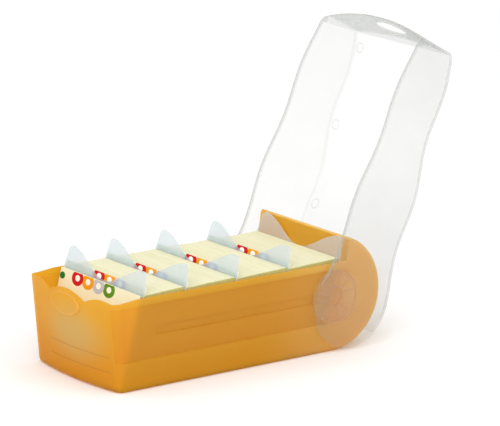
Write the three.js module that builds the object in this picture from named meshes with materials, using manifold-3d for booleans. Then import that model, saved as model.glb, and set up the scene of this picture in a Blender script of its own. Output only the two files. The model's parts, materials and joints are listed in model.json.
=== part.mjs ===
// Card index box with a swing lid: an open tray with a half-round rear end, a lid that turns about
// the centre of that round, and index cards kept upright between tabbed divider plates.
//
// Frame: millimetres, +X towards the round rear end, +Y across, +Z up.
// The origin is the centre of the tray's flat underside.

import * as THREE from 'three';
import { mergeVertices } from 'three/addons/utils/BufferGeometryUtils.js';
import Module from 'manifold-3d';

const wasm = await Module();
wasm.setup();

// ---- driving dimensions ----

const CARD_WIDTH = 105; // index card, landscape
const CARD_HEIGHT = 71.5;
const GUIDE_HEIGHT = 75; // the printed card in front of each section stands above the rest
const FIRST_GUIDE_HEIGHT = 70; // but not in the first section
const FIT = 0.3; // gap between pieces that touch

const WALL = 1.6;
const FLOOR = 1.8;
const RIM_Z = 69;
const HALF_WIDTH = 56.5; // outside, at the rim
const DRAFT = 1.6; // how far each side wall leans in over the rim height
const FRONT_X = -102.5; // front corners, at the rim
const FRONT_LEAN = 5.5; // the rim stands this far forward of the base
const FRONT_BULGE = 6;
const CORNER_RADIUS = 5.5;

const PIVOT_X = 98;
const REAR_RADIUS = 43.2;
const PIVOT_Z = REAR_RADIUS;
const CROWN_RISE = 46; // the upper rear quarter is an ellipse, a little taller than round
const STEP_FOOT = 10.8; // step in the side wall, behind the pivot, at the rim
const STEP_HEAD = 14.5; // and at its top
const SKIN_END_DEG = 70; // the inside of the rear skin ends this far up from the pivot's level

const BAND_RADIUS = 20.8; // recessed band in each side, round about the pivot
const BAND_FRONT = FRONT_X + 8;
const BAND_DEPTH = 1.0;
const BAND_WALL = 1.4;
const BAND_RETURN = 1.2; // wall round the band's edge, seen from inside
const GROOVE_HALF = 3.6; // blind guide groove along the band, and the round seat at its rear end
const GROOVE_FRONT = PIVOT_X - 160;
const GROOVE_DEPTH = 1.1;
const GROOVE_WALL = 0.8;
const GROOVE_RETURN = 1;
const SEAT_RADIUS = 8;

const TONGUE_RISE = 0.8; // front edge: a tongue between two cusps, then a low lobe to each corner
const CUSP_DROP = 5.4;
const CUSP_Y = 22.6;
const LOBE_RISE = 1.8;
const LOBE_END_Y = 51;
const CORNER_DROP = 1.4; // the front wall's corners are this much lower than the side rims,
const RIM_RAMP = 14; // which slope down to them over this length
const LATCH_HALF_Y = 18.8;
const LATCH_HALF_Z = 9;
const LATCH_Z = 58.5;
const LATCH_RISE = 1.2;
const LATCH_ROOT = 1.4; // how far its back reaches into the leaning wall

const LID_HALF_WIDTH = 60.25;
const LID_WALL = 1.2;
const LID_LENGTH = 200; // pivot to the top edge of the front panel
const LID_FRONT_LEAN = 5.5;
const LID_CREST = 50.2; // panel height over the pivot at a crest of its waves
const LID_WAVE = 2.2;
const LID_WAVE_LENGTH = 86;
const LID_SLOPE = 0.008;
const LID_EDGE = { lift: 0.07, curl: 0.00021, wave: 1.5, crest: 78 }; // free edge of the side walls
const LID_HUB = { swell: 3.2, reach: 14 }; // it dips round the hub
const LID_END_REACH = 38; // side walls end in half an ellipse round the pivot
const LID_END_DROP = 20.7;
const LID_PANEL_END = 20; // the panel stops this far behind the pivot
const LID_NOTCH_DEPTH = 6;
const LID_NOTCH_HALF = 5;
const LID_FRONT_HEIGHT = 34;
const LID_FRONT_RETURN = 3; // the corners stay joined below the front panel
const LID_CORNER = 9; // size of the rounding where the free edge meets the front
const LID_BULGE_TOP = 3;
const LID_BULGE_BOTTOM = 9;
const LID_REST_DEG = 109.5; // opening angle in the rest pose
const GRIP_HALF_Y = 17.5;
const GRIP_HALF_Z = 7.5;

const HUB_RADIUS = 20.3;
const HUB_RIM = 2.2;
const HUB_WEB = 1.2;
const HUB_RIBS = 12;
const HUB_RIB_WIDTH = 1.4;
const HUB_MERGE = 1; // joined solids reach this far into each other
const PIN_RADIUS = 7.6;
const PIN_FLAT = 3.2; // half the distance between the pin's two flats, which pass along the groove

const DIVIDER = { thickness: 1.0, topZ: 86, valley: 16, shoulderDrop: 17 };
const DIVIDER_HALF = { foot: 52.2, shoulder: 52.8, peak: 47 }; // half widths, up the plate
const HORN_RADIUS = 3.6;
const LEAN = THREE.MathUtils.degToRad(15); // cards and dividers lean back
const DIVIDER_FEET = [-91.9, -55, -9.1, 38.5, 87]; // where each plate meets the floor
const FIRST_BUNCH = 2.2;
const FRONT_CARD = 0.5;
const BUNDLE_SPLIT = 0.46; // share of a full stack in its front bundle
const BUNDLE_STEP = 0.3; // the rear bundle stands this much lower

const OVERRUN = 20; // blanks and cutters run this far past the faces that trim them
const WAVE_STEPS = 36; // straight stretches along a wavy or oval outline
const ARC_STEPS = 24; // and round a half circle
const CORNER_STEPS = 5;
const SPAN_STEPS = 14; // and across a bulged panel

// ---- materials ----

const plastic = (colour, roughness) =>
  new THREE.MeshStandardMaterial({ color: colour, roughness, metalness: 0 });
const ORANGE = plastic(0xe89a2c, 0.42);
const CLEAR = plastic(0xe9ece8, 0.35);
const FROSTED = plastic(0xdfe5ea, 0.45);
const CARD = plastic(0xf6eccb, 0.85);
const GUIDE = plastic(0xf2e6bd, 0.8);

// ---- helpers ----

function toSolid(geometry) {
  const bare = geometry.clone();
  bare.deleteAttribute('normal');
  bare.deleteAttribute('uv');
  const merged = mergeVertices(bare, 1e-4);
  return new wasm.Manifold(
    new wasm.Mesh({
      numProp: 3,
      vertProperties: new Float32Array(merged.attributes.position.array),
      triVerts: new Uint32Array(merged.index.array),
    }),
  );
}

function toGeometry(solid) {
  const mesh = solid.getMesh();
  const geometry = new THREE.BufferGeometry();
  geometry.setAttribute('position', new THREE.BufferAttribute(mesh.vertProperties.slice(), 3));
  geometry.setIndex(new THREE.BufferAttribute(mesh.triVerts.slice(), 1));
  geometry.computeVertexNormals();
  return geometry;
}

function named(name, geometry, material) {
  const mesh = new THREE.Mesh(geometry, material);
  mesh.name = name;
  return mesh;
}

// Moves every vertex p of a geometry by move(p), which changes p in place.
function bend(geometry, move) {
  const position = geometry.attributes.position;
  const p = new THREE.Vector3();
  for (let i = 0; i < position.count; i += 1) {
    p.fromBufferAttribute(position, i);
    move(p);
    position.setXYZ(i, p.x, p.y, p.z);
  }
  return geometry;
}

// A prism with its outline in X and Z, running along Y from y0 to y1.
function prismAlongY(outline, y0, y1, steps = 1) {
  const shape = new THREE.Shape(outline);
  const geometry = new THREE.ExtrudeGeometry(shape, { depth: y1 - y0, bevelEnabled: false, steps });
  geometry.rotateX(Math.PI / 2);
  geometry.translate(0, y1, 0);
  return geometry;
}

// A prism with its outline in Y and Z, running along X from x0 to x1.
function prismAlongX(outline, x0, x1) {
  const shape = new THREE.Shape(outline);
  const geometry = new THREE.ExtrudeGeometry(shape, { depth: x1 - x0, bevelEnabled: false });
  geometry.rotateX(Math.PI / 2);
  geometry.rotateZ(Math.PI / 2);
  geometry.translate(x0, 0, 0);
  return geometry;
}

const point = (x, y) => new THREE.Vector2(x, y);

// Points of an elliptical arc about (cx, cy), from angle a to b in degrees, both ends included.
function arc(cx, cy, rx, ry, a, b, count) {
  const points = [];
  for (let i = 0; i <= count; i += 1) {
    const angle = THREE.MathUtils.degToRad(a + ((b - a) * i) / count);
    points.push(point(cx + rx * Math.cos(angle), cy + ry * Math.sin(angle)));
  }
  return points;
}

const rectangle = (x0, x1, y0, y1) => [point(x0, y0), point(x1, y0), point(x1, y1), point(x0, y1)];

const oval = (cx, cy, rx, ry) => arc(cx, cy, rx, ry, 0, 360, WAVE_STEPS).slice(0, -1);

// count + 1 evenly spaced points of a curve y = height(x).
function sampled(height, x0, x1, count) {
  const points = [];
  for (let i = 0; i <= count; i += 1) {
    const x = x0 + ((x1 - x0) * i) / count;
    points.push(point(x, height(x)));
  }
  return points;
}

// ---- tray ----

// Outer half width of the drafted side walls at height z.
const halfWidth = (z) => HALF_WIDTH - (DRAFT * (RIM_Z - z)) / RIM_Z;

// The tray's plan outline as a tall prism, drafted at the sides and leaning forward at the front,
// set in from the outside by inset.
function planPrism(inset) {
  const z0 = -OVERRUN;
  const z1 = PIVOT_Z + CROWN_RISE + OVERRUN;
  const half = HALF_WIDTH - inset;
  const front = FRONT_X + inset;
  const radius = CORNER_RADIUS - inset;
  const bulge = (y) => FRONT_BULGE * (1 - (y / HALF_WIDTH) ** 2);
  const endY = half - radius;
  const face = sampled(bulge, -endY, endY, SPAN_STEPS).map((p) => point(front - p.y, p.x));
  const shift = bulge(endY);
  const nearCorner = arc(front + radius - shift, -endY, radius, radius, 270, 180, CORNER_STEPS);
  const farCorner = arc(front + radius - shift, endY, radius, radius, 180, 90, CORNER_STEPS);
  const rear = PIVOT_X + REAR_RADIUS + OVERRUN;
  const outline = [
    point(rear, -half),
    ...nearCorner.slice(0, -1),
    ...face,
    ...farCorner.slice(1),
    point(rear, half),
  ];
  const shape = new THREE.Shape(outline);
  const geometry = new THREE.ExtrudeGeometry(shape, { depth: z1 - z0, bevelEnabled: false });
  geometry.translate(0, 0, z0);
  return bend(geometry, (p) => {
    const ratio = (halfWidth(p.z) - inset) / half;
    p.y *= ratio;
    if (p.x < 0) p.x += (FRONT_LEAN * (RIM_Z - p.z)) / RIM_Z;
  });
}

// The half-round rear end from the floor up to topDeg, as points of the side profile.
function rearCurve(inset, topDeg) {
  const radius = REAR_RADIUS - inset;
  const lower = arc(PIVOT_X, PIVOT_Z, radius, radius, -90, 0, ARC_STEPS);
  const upper = arc(PIVOT_X, PIVOT_Z, radius, CROWN_RISE - inset, 0, topDeg, ARC_STEPS);
  return [...lower, ...upper.slice(1)];
}

// A prism of the side profile across the tray, trimmed to the plan outline set in by inset.
function trayBlank(outline, inset) {
  const half = HALF_WIDTH + OVERRUN;
  return toSolid(prismAlongY(outline, -half, half)).intersect(toSolid(planPrism(inset)));
}

// Where the front wall and its corners end and the side rims begin.
const BEHIND_FRONT = FRONT_X + CORNER_RADIUS + WALL;

function trayOuter() {
  const headDeg = THREE.MathUtils.radToDeg(Math.acos(STEP_HEAD / REAR_RADIUS));
  const tall = RIM_Z + TONGUE_RISE;
  const outline = [
    point(FRONT_X - OVERRUN, 0),
    ...rearCurve(0, headDeg),
    point(PIVOT_X + STEP_FOOT, RIM_Z),
    point(BEHIND_FRONT + RIM_RAMP, RIM_Z),
    point(BEHIND_FRONT, RIM_Z - CORNER_DROP),
    point(BEHIND_FRONT, tall),
    point(FRONT_X - OVERRUN, tall),
  ];
  return trayBlank(outline, 0);
}

function trayHollow() {
  const above = PIVOT_Z + CROWN_RISE + OVERRUN;
  const skin = rearCurve(WALL, SKIN_END_DEG).filter((p) => p.y > FLOOR);
  const outline = [
    point(FRONT_X - OVERRUN, FLOOR),
    point(PIVOT_X, FLOOR),
    ...skin,
    point(skin[skin.length - 1].x, above),
    point(FRONT_X - OVERRUN, above),
  ];
  return trayBlank(outline, WALL);
}

// Outline of the band, set out by grow: square at the front, round about the pivot at the rear.
function bandOutline(grow) {
  const radius = BAND_RADIUS + grow;
  return [
    point(BAND_FRONT - grow, PIVOT_Z - radius),
    ...arc(PIVOT_X, PIVOT_Z, radius, radius, -90, 90, ARC_STEPS),
    point(BAND_FRONT - grow, PIVOT_Z + radius),
  ];
}

// Outlines of the guide groove and its round seat, set out by grow.
function grooveOutlines(grow) {
  const half = GROOVE_HALF + grow;
  const seat = SEAT_RADIUS + grow;
  const groove = [
    ...arc(GROOVE_FRONT, PIVOT_Z, half, half, 90, 270, 2 * CORNER_STEPS),
    point(PIVOT_X, PIVOT_Z - half),
    point(PIVOT_X, PIVOT_Z + half),
  ];
  return [groove, oval(PIVOT_X, PIVOT_Z, seat, seat)];
}

// A slab of the given outline on one drafted side wall, from the depth inner out past the wall.
function sideSlab(side, outline, inner) {
  const slab = prismAlongY(outline, inner, OVERRUN);
  bend(slab, (p) => {
    p.y += halfWidth(p.z);
  });
  const solid = toSolid(slab);
  return side > 0 ? solid : solid.mirror([0, 1, 0]);
}

// Everything above the front wall's wavy top edge.
function frontEdgeCutter() {
  const top = (y) => {
    const across = Math.abs(y);
    if (across < CUSP_Y) {
      const rise = TONGUE_RISE + CUSP_DROP;
      return RIM_Z - CUSP_DROP + rise * Math.cos((across / CUSP_Y) * (Math.PI / 2)) ** 0.8;
    }
    const t = Math.min((across - CUSP_Y) / (LOBE_END_Y - CUSP_Y), 1);
    const drop = CORNER_DROP + (CUSP_DROP - CORNER_DROP) * (1 - t) ** 2;
    return RIM_Z - drop + LOBE_RISE * Math.sin(Math.PI * t);
  };
  const edge = sampled(top, -LOBE_END_Y, LOBE_END_Y, 2 * WAVE_STEPS);
  const half = HALF_WIDTH + OVERRUN;
  const above = RIM_Z + OVERRUN;
  const corner = RIM_Z - CORNER_DROP;
  const outline = [
    point(-half, corner),
    ...edge,
    point(half, corner),
    point(half, above),
    point(-half, above),
  ];
  return toSolid(prismAlongX(outline, FRONT_X - OVERRUN, BEHIND_FRONT + FIT));
}

// The pressed oval on the front wall that the lid's grip hole closes over.
function latchPad() {
  const face = FRONT_X - FRONT_BULGE + (FRONT_LEAN * (RIM_Z - LATCH_Z)) / RIM_Z;
  const outline = oval(0, LATCH_Z, LATCH_HALF_Y, LATCH_HALF_Z);
  return toSolid(prismAlongX(outline, face - LATCH_RISE, face + LATCH_ROOT));
}

function tray() {
  const sides = [-1, 1];
  const grooveBack = BAND_DEPTH + GROOVE_DEPTH + GROOVE_WALL;
  let hollow = trayHollow();
  for (const side of sides) {
    hollow = hollow.subtract(sideSlab(side, bandOutline(BAND_RETURN), -(BAND_DEPTH + BAND_WALL)));
    for (const outline of grooveOutlines(GROOVE_RETURN)) {
      hollow = hollow.subtract(sideSlab(side, outline, -grooveBack));
    }
  }
  let body = trayOuter().add(latchPad()).subtract(hollow).subtract(frontEdgeCutter());
  for (const side of sides) {
    body = body.subtract(sideSlab(side, bandOutline(0), -BAND_DEPTH));
    for (const outline of grooveOutlines(0)) {
      body = body.subtract(sideSlab(side, outline, -(BAND_DEPTH + GROOVE_DEPTH)));
    }
  }
  return named('tray', toGeometry(body), ORANGE);
}

// ---- lid, in its own frame: pivot at the origin, closed, so it runs towards -X ----

const panelHeight = (s) =>
  LID_CREST - LID_WAVE + LID_WAVE * Math.cos((2 * Math.PI * s) / LID_WAVE_LENGTH) - LID_SLOPE * s;

// Height of the side walls' free edge, s being the distance from the pivot towards the front.
function freeEdge(s) {
  const phase = (x) => Math.cos((2 * Math.PI * (x - LID_EDGE.crest)) / LID_WAVE_LENGTH);
  const dip = LID_HUB.swell * (1 - Math.exp(-((s / LID_HUB.reach) ** 2)));
  const rise = LID_EDGE.lift * s + LID_EDGE.curl * s * s + dip;
  return rise - LID_END_DROP - LID_EDGE.wave * (phase(s) - phase(0));
}

// The hub end's ellipse, set in by inset, from the angle a to b in degrees (90 is straight up).
function hubEnd(inset, a, b, count) {
  const rise = (LID_CREST + LID_END_DROP) / 2;
  const centre = LID_CREST - rise;
  return arc(0, centre, LID_END_REACH - inset, rise - inset, a, b, count);
}

// Pushes the front panel out between its ends, more at its free edge than at its top.
function bulgeFront(p) {
  const facePlane = LID_WALL - LID_LENGTH;
  if (p.x > facePlane + LID_WALL / 10) return;
  const top = panelHeight(LID_LENGTH);
  const amount = LID_BULGE_TOP + ((LID_BULGE_BOTTOM - LID_BULGE_TOP) * (top - p.z)) / LID_FRONT_HEIGHT;
  p.x -= amount * (1 - (p.y / LID_HALF_WIDTH) ** 2);
}

function lidShell() {
  const tip = LID_LENGTH + LID_FRONT_LEAN;
  const mirrored = (points) => points.map((p) => point(-p.x, p.y));
  const lean = LID_FRONT_LEAN / (panelHeight(LID_LENGTH) - freeEdge(tip));
  const back = tip - LID_CORNER;
  const corner = new THREE.QuadraticBezierCurve(
    point(back, freeEdge(back)),
    point(tip, freeEdge(tip)),
    point(tip - lean * LID_CORNER, freeEdge(tip) + LID_CORNER),
  );
  const edge = [...sampled(freeEdge, 0, back, WAVE_STEPS), ...corner.getPoints(CORNER_STEPS).slice(1)];
  const lower = mirrored(edge).reverse();
  const upper = mirrored(sampled(panelHeight, 0, LID_LENGTH, WAVE_STEPS));
  const outline = [...lower.slice(0, -1), ...hubEnd(0, -90, 90, ARC_STEPS), ...upper.slice(1)];
  const outer = prismAlongY(outline, -LID_HALF_WIDTH, LID_HALF_WIDTH, SPAN_STEPS);

  const inside = LID_HALF_WIDTH - LID_WALL;
  const endDeg = THREE.MathUtils.radToDeg(Math.acos(LID_PANEL_END / (LID_END_REACH - LID_WALL)));
  const curve = hubEnd(LID_WALL, endDeg, 90, CORNER_STEPS);
  const inset = (s) => panelHeight(s) - LID_WALL;
  const ceiling = mirrored(sampled(inset, 0, LID_LENGTH - LID_WALL, WAVE_STEPS));
  const frontTop = ceiling[ceiling.length - 1];
  const behind = LID_END_REACH + OVERRUN;
  const above = LID_CREST + OVERRUN;
  const deep = LID_END_DROP + OVERRUN;
  const hollow = [
    point(frontTop.x - lean * (frontTop.y + deep), -deep),
    point(behind, -deep),
    point(behind, above),
    point(LID_PANEL_END, above),
    ...curve.slice(0, -1),
    ...ceiling,
  ];
  const inner = prismAlongY(hollow, -inside, inside, SPAN_STEPS);

  const under = panelHeight(LID_LENGTH) - LID_FRONT_HEIGHT;
  const ahead = -(tip + LID_BULGE_BOTTOM + OVERRUN);
  const below = rectangle(ahead, OVERRUN - LID_LENGTH, -deep, under);
  const returns = inside - LID_FRONT_RETURN;
  const grip = oval(0, under + LID_FRONT_HEIGHT / 2, GRIP_HALF_Y, GRIP_HALF_Z);
  const notch = rectangle(LID_PANEL_END - LID_NOTCH_DEPTH, behind, 0, above);

  return toSolid(bend(outer, bulgeFront))
    .subtract(toSolid(bend(inner, bulgeFront)))
    .subtract(toSolid(prismAlongY(below, -returns, returns)))
    .subtract(toSolid(prismAlongX(grip, ahead, OVERRUN - LID_LENGTH)))
    .subtract(toSolid(prismAlongY(notch, -LID_NOTCH_HALF, LID_NOTCH_HALF)));
}

// Ribbed disc inside each lid wall, with the flatted pin that turns in the tray's round seat.
function hubDisc(side) {
  const lidFace = LID_HALF_WIDTH - LID_WALL - FIT;
  const trayFace = halfWidth(PIVOT_Z + HUB_RADIUS) - BAND_DEPTH + FIT;
  const pinEnd = halfWidth(PIVOT_Z + PIN_RADIUS) - BAND_DEPTH - GROOVE_DEPTH + FIT;
  const rimIn = HUB_RADIUS - HUB_RIM;
  const profile = [
    point(0, trayFace),
    point(PIN_RADIUS, trayFace),
    point(PIN_RADIUS, lidFace - HUB_WEB),
    point(rimIn, lidFace - HUB_WEB),
    point(rimIn, trayFace),
    point(HUB_RADIUS, trayFace),
    point(HUB_RADIUS, lidFace),
    point(0, lidFace),
  ];
  let disc = toSolid(new THREE.LatheGeometry(profile, 2 * ARC_STEPS));
  const ribDepth = lidFace - trayFace;
  for (let i = 0; i < HUB_RIBS; i += 1) {
    const rib = new THREE.BoxGeometry(rimIn - PIN_RADIUS + 2 * HUB_MERGE, ribDepth, HUB_RIB_WIDTH);
    rib.translate((rimIn + PIN_RADIUS) / 2, trayFace + ribDepth / 2, 0);
    rib.rotateY((2 * Math.PI * i) / HUB_RIBS);
    disc = disc.add(toSolid(rib));
  }
  const pinTop = trayFace + HUB_MERGE;
  const pin = new THREE.CylinderGeometry(PIN_RADIUS, PIN_RADIUS, pinTop - pinEnd, WAVE_STEPS);
  pin.translate(0, (pinTop + pinEnd) / 2, 0);
  const flats = new THREE.BoxGeometry(2 * HUB_RADIUS, 2 * HUB_RADIUS, 2 * PIN_FLAT);
  flats.translate(0, trayFace, 0);
  disc = disc.add(toSolid(pin).intersect(toSolid(flats)));
  return side > 0 ? disc : disc.mirror([0, 1, 0]);
}

function lidAssembly() {
  const group = new THREE.Group();
  group.position.set(PIVOT_X, 0, PIVOT_Z);
  group.rotation.y = THREE.MathUtils.degToRad(LID_REST_DEG);
  group.add(named('lid', toGeometry(lidShell()), CLEAR));
  group.add(named('hub_disc_near', toGeometry(hubDisc(-1)), CLEAR));
  group.add(named('hub_disc_far', toGeometry(hubDisc(1)), CLEAR));
  return group;
}

// ---- contents ----

const BASE_Z = FLOOR + FIT;

// Shears an upright piece so that it leans back from the height BASE_Z.
function leanBack(geometry) {
  return bend(geometry, (p) => {
    p.x += (p.z - BASE_Z) * Math.tan(LEAN);
  });
}

function divider(index, foot) {
  const { thickness, topZ, valley, shoulderDrop } = DIVIDER;
  const half = DIVIDER_HALF;
  const shoulderZ = topZ - shoulderDrop;
  const topEdge = (y) => topZ - (valley * (1 + Math.cos((Math.PI * y) / half.peak))) / 2;
  const hornZ = topZ - HORN_RADIUS;
  const outline = [
    point(-half.foot, BASE_Z),
    point(half.foot, BASE_Z),
    point(half.shoulder, shoulderZ),
    ...arc(half.peak, hornZ, HORN_RADIUS, HORN_RADIUS, 0, 90, CORNER_STEPS),
    ...sampled(topEdge, -half.peak, half.peak, WAVE_STEPS).reverse().slice(1, -1),
    ...arc(-half.peak, hornZ, HORN_RADIUS, HORN_RADIUS, 90, 180, CORNER_STEPS),
    point(-half.shoulder, shoulderZ),
  ];
  const across = thickness / Math.cos(LEAN);
  const plate = prismAlongX(outline, foot - across / 2, foot + across / 2);
  return named(`divider_${index}`, leanBack(plate), FROSTED);
}

function cardBlock(name, x0, x1, height, material) {
  const topZ = BASE_Z + height * Math.cos(LEAN);
  const outline = [point(x0, BASE_Z), point(x1, BASE_Z), point(x1, topZ), point(x0, topZ)];
  const block = prismAlongY(outline, -CARD_WIDTH / 2, CARD_WIDTH / 2);
  return named(name, leanBack(block), material);
}

// One section of cards: a printed front card and one or two bundles of plain cards behind it.
function section(index, x0, x1, bundles) {
  const pieces = [];
  const front = x0 + FRONT_CARD;
  const guideHeight = index === 0 ? FIRST_GUIDE_HEIGHT : GUIDE_HEIGHT;
  pieces.push(cardBlock(`front_card_${index}`, x0, front, guideHeight, GUIDE));
  const start = front + FIT;
  const splits = bundles === 1 ? [start, x1] : [start, start + (x1 - start) * BUNDLE_SPLIT, x1];
  for (let b = 0; b < bundles; b += 1) {
    const from = b === 0 ? splits[0] : splits[b] + FIT;
    const name = bundles === 1 ? `cards_${index}` : `cards_${index}${'ab'[b]}`;
    const height = index === 0 ? FIRST_GUIDE_HEIGHT : CARD_HEIGHT - BUNDLE_STEP * b;
    pieces.push(cardBlock(name, from, splits[b + 1], height, CARD));
  }
  return pieces;
}

function contents() {
  const half = DIVIDER.thickness / Math.cos(LEAN) / 2 + FIT;
  const firstEnd = DIVIDER_FEET[0] - half;
  const pieces = section(0, firstEnd - FIRST_BUNCH, firstEnd, 1);
  DIVIDER_FEET.forEach((foot, i) => {
    pieces.push(divider(i + 1, foot));
    if (i + 1 < DIVIDER_FEET.length) {
      pieces.push(...section(i + 1, foot + half, DIVIDER_FEET[i + 1] - half, 2));
    }
  });
  return pieces;
}

// ---- assembly ----

const cardBox = new THREE.Group();
cardBox.add(tray());
cardBox.add(lidAssembly());
cardBox.add(...contents());

export default cardBox;
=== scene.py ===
import json
import math
import random

import bmesh
import bpy
from mathutils import Matrix, Vector

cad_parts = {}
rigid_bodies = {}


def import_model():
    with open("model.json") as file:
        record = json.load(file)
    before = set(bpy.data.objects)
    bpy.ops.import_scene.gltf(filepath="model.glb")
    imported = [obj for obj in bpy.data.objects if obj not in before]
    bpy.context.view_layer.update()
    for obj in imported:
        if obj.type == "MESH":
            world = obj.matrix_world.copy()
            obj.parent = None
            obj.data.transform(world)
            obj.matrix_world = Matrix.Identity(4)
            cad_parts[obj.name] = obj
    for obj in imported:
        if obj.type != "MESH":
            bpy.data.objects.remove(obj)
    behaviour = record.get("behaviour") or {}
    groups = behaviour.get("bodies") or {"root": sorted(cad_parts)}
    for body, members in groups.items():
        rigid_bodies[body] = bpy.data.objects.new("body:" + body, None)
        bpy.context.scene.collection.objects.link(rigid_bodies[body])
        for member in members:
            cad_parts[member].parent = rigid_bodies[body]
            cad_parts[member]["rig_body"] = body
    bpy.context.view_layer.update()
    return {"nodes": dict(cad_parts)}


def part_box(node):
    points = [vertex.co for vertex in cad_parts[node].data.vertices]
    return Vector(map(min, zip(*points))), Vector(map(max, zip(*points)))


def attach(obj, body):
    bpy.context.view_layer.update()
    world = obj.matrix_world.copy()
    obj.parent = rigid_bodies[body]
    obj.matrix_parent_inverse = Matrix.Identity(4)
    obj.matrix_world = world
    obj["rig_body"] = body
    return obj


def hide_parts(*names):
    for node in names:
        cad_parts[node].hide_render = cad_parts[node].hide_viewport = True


# Looks of a card index box: a translucent orange tray, a milky swing lid standing open,
# frosted divider plates and printed index cards.
# Frame: metres, +X towards the round rear end, +Y across, +Z up. The shapes below are worked out
# in millimetres and scaled once, where each mesh is made.

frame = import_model()

MM = 0.001
CARD_SEED = 11

# ---- driving dimensions, in millimetres ----

WALL = 1.6
FLOOR = 1.8
RIM_Z = 69.0
HALF_WIDTH = 56.5
DRAFT = 1.6
FRONT_X = -102.5
FRONT_LEAN = 5.5
FRONT_BULGE = 6.0
CORNER_RADIUS = 5.5
SIDE_ROUND = 2.4  # rounding between the sides and the underside or the round rear end
FOOT_ROUND = 3.0  # and along the bottom of the front wall

PIVOT_X = 98.0
PIVOT_Z = 43.2
REAR_RADIUS = 43.2
CROWN_RISE = 46.0
STEP_FOOT = 10.8
STEP_HEAD = 14.5
SKIN_END_DEG = 70.0

BAND_RADIUS = 20.8
BAND_FRONT = FRONT_X + 8
BAND_DEPTH = 1.0
BAND_WALL = 1.4
BAND_RETURN = 1.2
GROOVE_HALF = 3.6
GROOVE_FRONT = PIVOT_X - 160
GROOVE_DEPTH = 1.1
GROOVE_WALL = 0.8
GROOVE_RETURN = 1.0
SEAT_RADIUS = 8.0

TONGUE_RISE = 0.8
TONGUE_FULLNESS = 0.8  # below 1 it is broader than a cosine
CUSP_DROP = 5.4
CUSP_Y = 22.6
LOBE_RISE = 1.8
LOBE_END_Y = 51.0
CORNER_DROP = 1.4
RIM_RAMP = 14.0
LATCH_HALF_Y = 18.8
LATCH_HALF_Z = 9.0
LATCH_Z = 58.5
LATCH_RISE = 1.2
LATCH_SOFT = 0.9  # depth of its soft edge
LATCH_SOFT_INSET = 0.8
LATCH_LINE = 1.6  # width of the painted highlight line round it
LATCH_ROOT = 1.4  # how far its back reaches into the leaning wall
EDGE_CUT_PAST = 0.6  # the front edge's cut ends this far behind the corners
BAND_SOFT = 0.35  # bevels at the foot of the band's and the groove's walls
GROOVE_SOFT = 0.3
LABEL_LINES = (14.8, 26.0)  # heights of the two lines to write on, on the front wall
LABEL_CENTRE = -11.0
LABEL_HALF = 37.0

LID_HALF_WIDTH = 60.25
LID_WALL = 1.2
LID_LENGTH = 200.0
LID_FRONT_LEAN = 5.5
LID_CREST = 50.2
LID_WAVE = 2.2
LID_WAVE_LENGTH = 86.0
LID_SLOPE = 0.008
LID_EDGE_LIFT = 0.07
LID_EDGE_CURL = 0.00021
LID_EDGE_WAVE = 1.5
LID_EDGE_CREST = 78.0
LID_HUB_SWELL = 3.2  # the free edge dips this much round the hub
LID_HUB_REACH = 14.0
LID_END_REACH = 38.0
LID_END_DROP = 20.7
LID_PANEL_END = 20.0
LID_NOTCH_DEPTH = 6.0
LID_NOTCH_HALF = 5.0
LID_FRONT_HEIGHT = 34.0
LID_FRONT_RETURN = 3.0  # the corners stay joined below the front panel
LID_CORNER = 9.0  # size of the rounding where the free edge meets the front
LID_BULGE_TOP = 3.0
LID_BULGE_BOTTOM = 9.0
LID_BULGE_START = 12.0  # the bulge sets in this far before the front
LID_BULGE_EASE = 10.0  # and is full after this much more
LID_REST_DEG = 109.5
LID_MARKS = ((60.0, 53.0), (124.0, 53.0), (187.0, 53.0))  # rings on the top panel: along, across
LID_MARK_RADIUS = 3.8
LID_ROUND = 2.8  # outside rounding between the lid's panels
GRIP_HALF_Y = 17.5
GRIP_HALF_Z = 7.5

HUB_RADIUS = 20.3
HUB_RIM = 2.2
HUB_WEB = 1.2
HUB_RIBS = 12
HUB_RIB_WIDTH = 1.4
HUB_SOFT = 0.35  # bevel of the disc's edges
HUB_STEPS = 96
RIB_INSET = 0.02  # the ribs stand this little below the rim
RIB_BURIED = 0.3  # and end this far inside the disc's outer face
PIN_RADIUS = 7.6
PIN_FLAT = 3.2
GAP = 0.3  # play between pieces
MERGE = 1.0  # joined solids reach this far into each other

CARD_WIDTH = 105.0
LEAN = math.radians(15)
BASE_Z = FLOOR + GAP
SHEET = 0.36  # thickness of one index card
SHEET_FILL = 0.9  # and at most this share of the pitch
SHEET_PITCH = 0.44
SHEET_COLUMNS = 8
SIDE_STEP = 0.18  # a card's sideways place drifts from its neighbour's by up to this
SIDE_MEMORY = 0.8
SIDE_LIMIT = 0.45
TOP_SPREAD = 0.14
SLACK_USED = 0.8  # share of the free depth that a card may shift by
SINKS = {"a": (1.7, 0.9), "b": (0.6, 0.0)}  # the tops of a section's two bundles rise to the rear

MARK_HALF = (7.5, 5.8)  # half the width and height of a printed oval
MARK_HOLE = 0.4
MARK_PITCH = 13.9
DOT_CENTRE = (48.6, 64.4)
DOT_HALF = (3.4, 2.7)
CARD_BORDER = 0.9  # width of the painted shade strip at a card's near end

OVERRUN = 20.0  # blanks and cutters run this far past the faces that trim them
FINE = 64  # straight stretches along the lid's panel and round an oval
CORNER_STEPS = 6  # and along the other curves
REAR_STEPS = (32, 24)
BAND_STEPS = 40
GROOVE_END_STEPS = 14
SEAT_STEPS = 48
RIM_STEPS = 120
LID_EDGE_STEPS = 48
PANEL_END_STEPS = 10
SIDE_STATIONS = 16  # and places across the flat part of a body
TURN_STATIONS = 7  # and round each corner


# ---- mesh helpers ----

def add_object(name, data):
    obj = bpy.data.objects.new(name, data)
    bpy.context.scene.collection.objects.link(obj)
    return obj


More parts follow.
